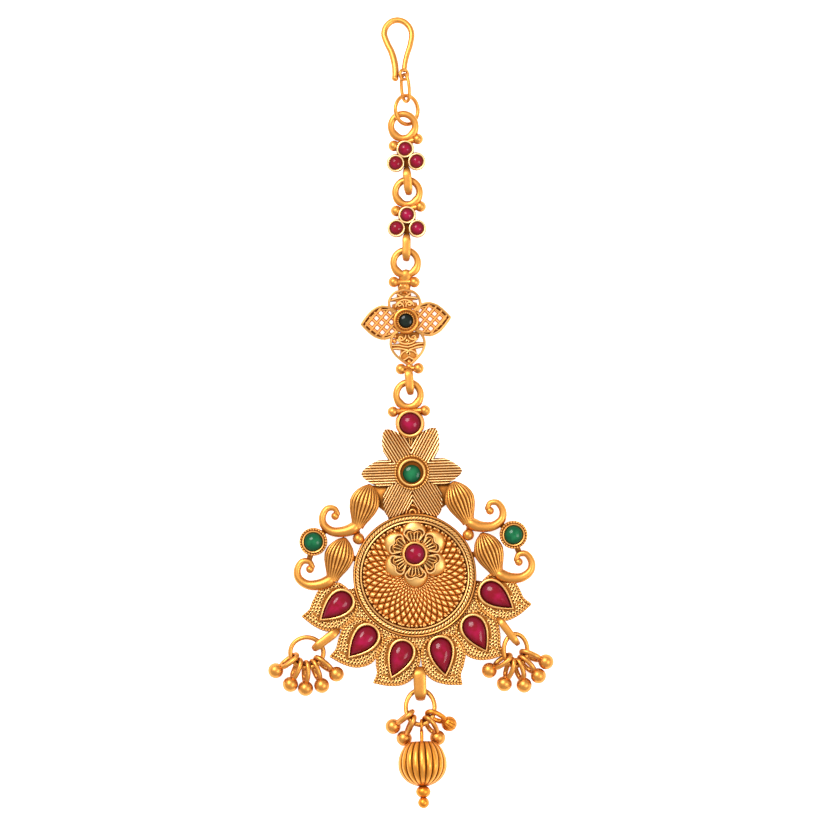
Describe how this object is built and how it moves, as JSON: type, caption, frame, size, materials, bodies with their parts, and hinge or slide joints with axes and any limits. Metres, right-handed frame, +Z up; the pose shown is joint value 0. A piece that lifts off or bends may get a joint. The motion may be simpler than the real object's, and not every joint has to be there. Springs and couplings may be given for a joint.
{
  "type": "forehead pendant with linked chain and hair hook",
  "caption": "Gilt forehead pendant in cast and pierced metal with domed stones, ball drops and a fluted bead, on a short chain that ends in a hair hook.",
  "frame": {"origin": "on the surface that the jewel lies on, under the middle of its box", "axes": "+Z up out of the jewel's face, +Y along the chain towards the hair hook, +X to the right as seen from above"},
  "size_m": [0.047, 0.1298, 0.008],
  "materials": {
    "gilt_metal": "matt antique gilt over a brass alloy",
    "ruby_glass": "polished domed stones of ruby glass",
    "emerald_glass": "polished domed stones of green glass",
    "dark_glass": "polished domed stone of nearly black green glass"
  },
  "bodies": {
    "root": {"hair_hook": "gilt_metal", "hook_link": "gilt_metal", "chain_jump_ring": "gilt_metal", "trefoil_link_upper": "gilt_metal", "trefoil_ruby_upper_top": "ruby_glass", "trefoil_ruby_upper_left": "ruby_glass", "trefoil_ruby_upper_right": "ruby_glass", "trefoil_link_lower": "gilt_metal", "trefoil_ruby_lower_top": "ruby_glass", "trefoil_ruby_lower_left": "ruby_glass", "trefoil_ruby_lower_right": "ruby_glass", "pierced_link": "gilt_metal", "pierced_link_stone": "dark_glass", "pendant_frame": "gilt_metal", "top_ruby": "ruby_glass", "star_emerald": "emerald_glass", "flower_ruby": "ruby_glass", "side_emerald_left": "emerald_glass", "side_emerald_right": "emerald_glass", "pear_ruby_1": "ruby_glass", "pear_ruby_2": "ruby_glass", "pear_ruby_3": "ruby_glass", "pear_ruby_4": "ruby_glass", "pear_ruby_5": "ruby_glass", "pear_ruby_6": "ruby_glass", "left_jump_ring": "gilt_metal", "left_ball_drop_1": "gilt_metal", "left_ball_drop_2": "gilt_metal", "left_ball_drop_3": "gilt_metal", "left_ball_drop_4": "gilt_metal", "left_ball_drop_5": "gilt_metal", "right_jump_ring": "gilt_metal", "right_ball_drop_1": "gilt_metal", "right_ball_drop_2": "gilt_metal", "right_ball_drop_3": "gilt_metal", "right_ball_drop_4": "gilt_metal", "right_ball_drop_5": "gilt_metal", "foot_jump_ring": "gilt_metal", "foot_ball_drop_1": "gilt_metal", "foot_ball_drop_2": "gilt_metal", "foot_ball_drop_3": "gilt_metal", "foot_ball_drop_4": "gilt_metal", "fluted_bead": "gilt_metal", "spacer_bead": "gilt_metal", "head_pin": "gilt_metal"}
  },
  "joints": []
}
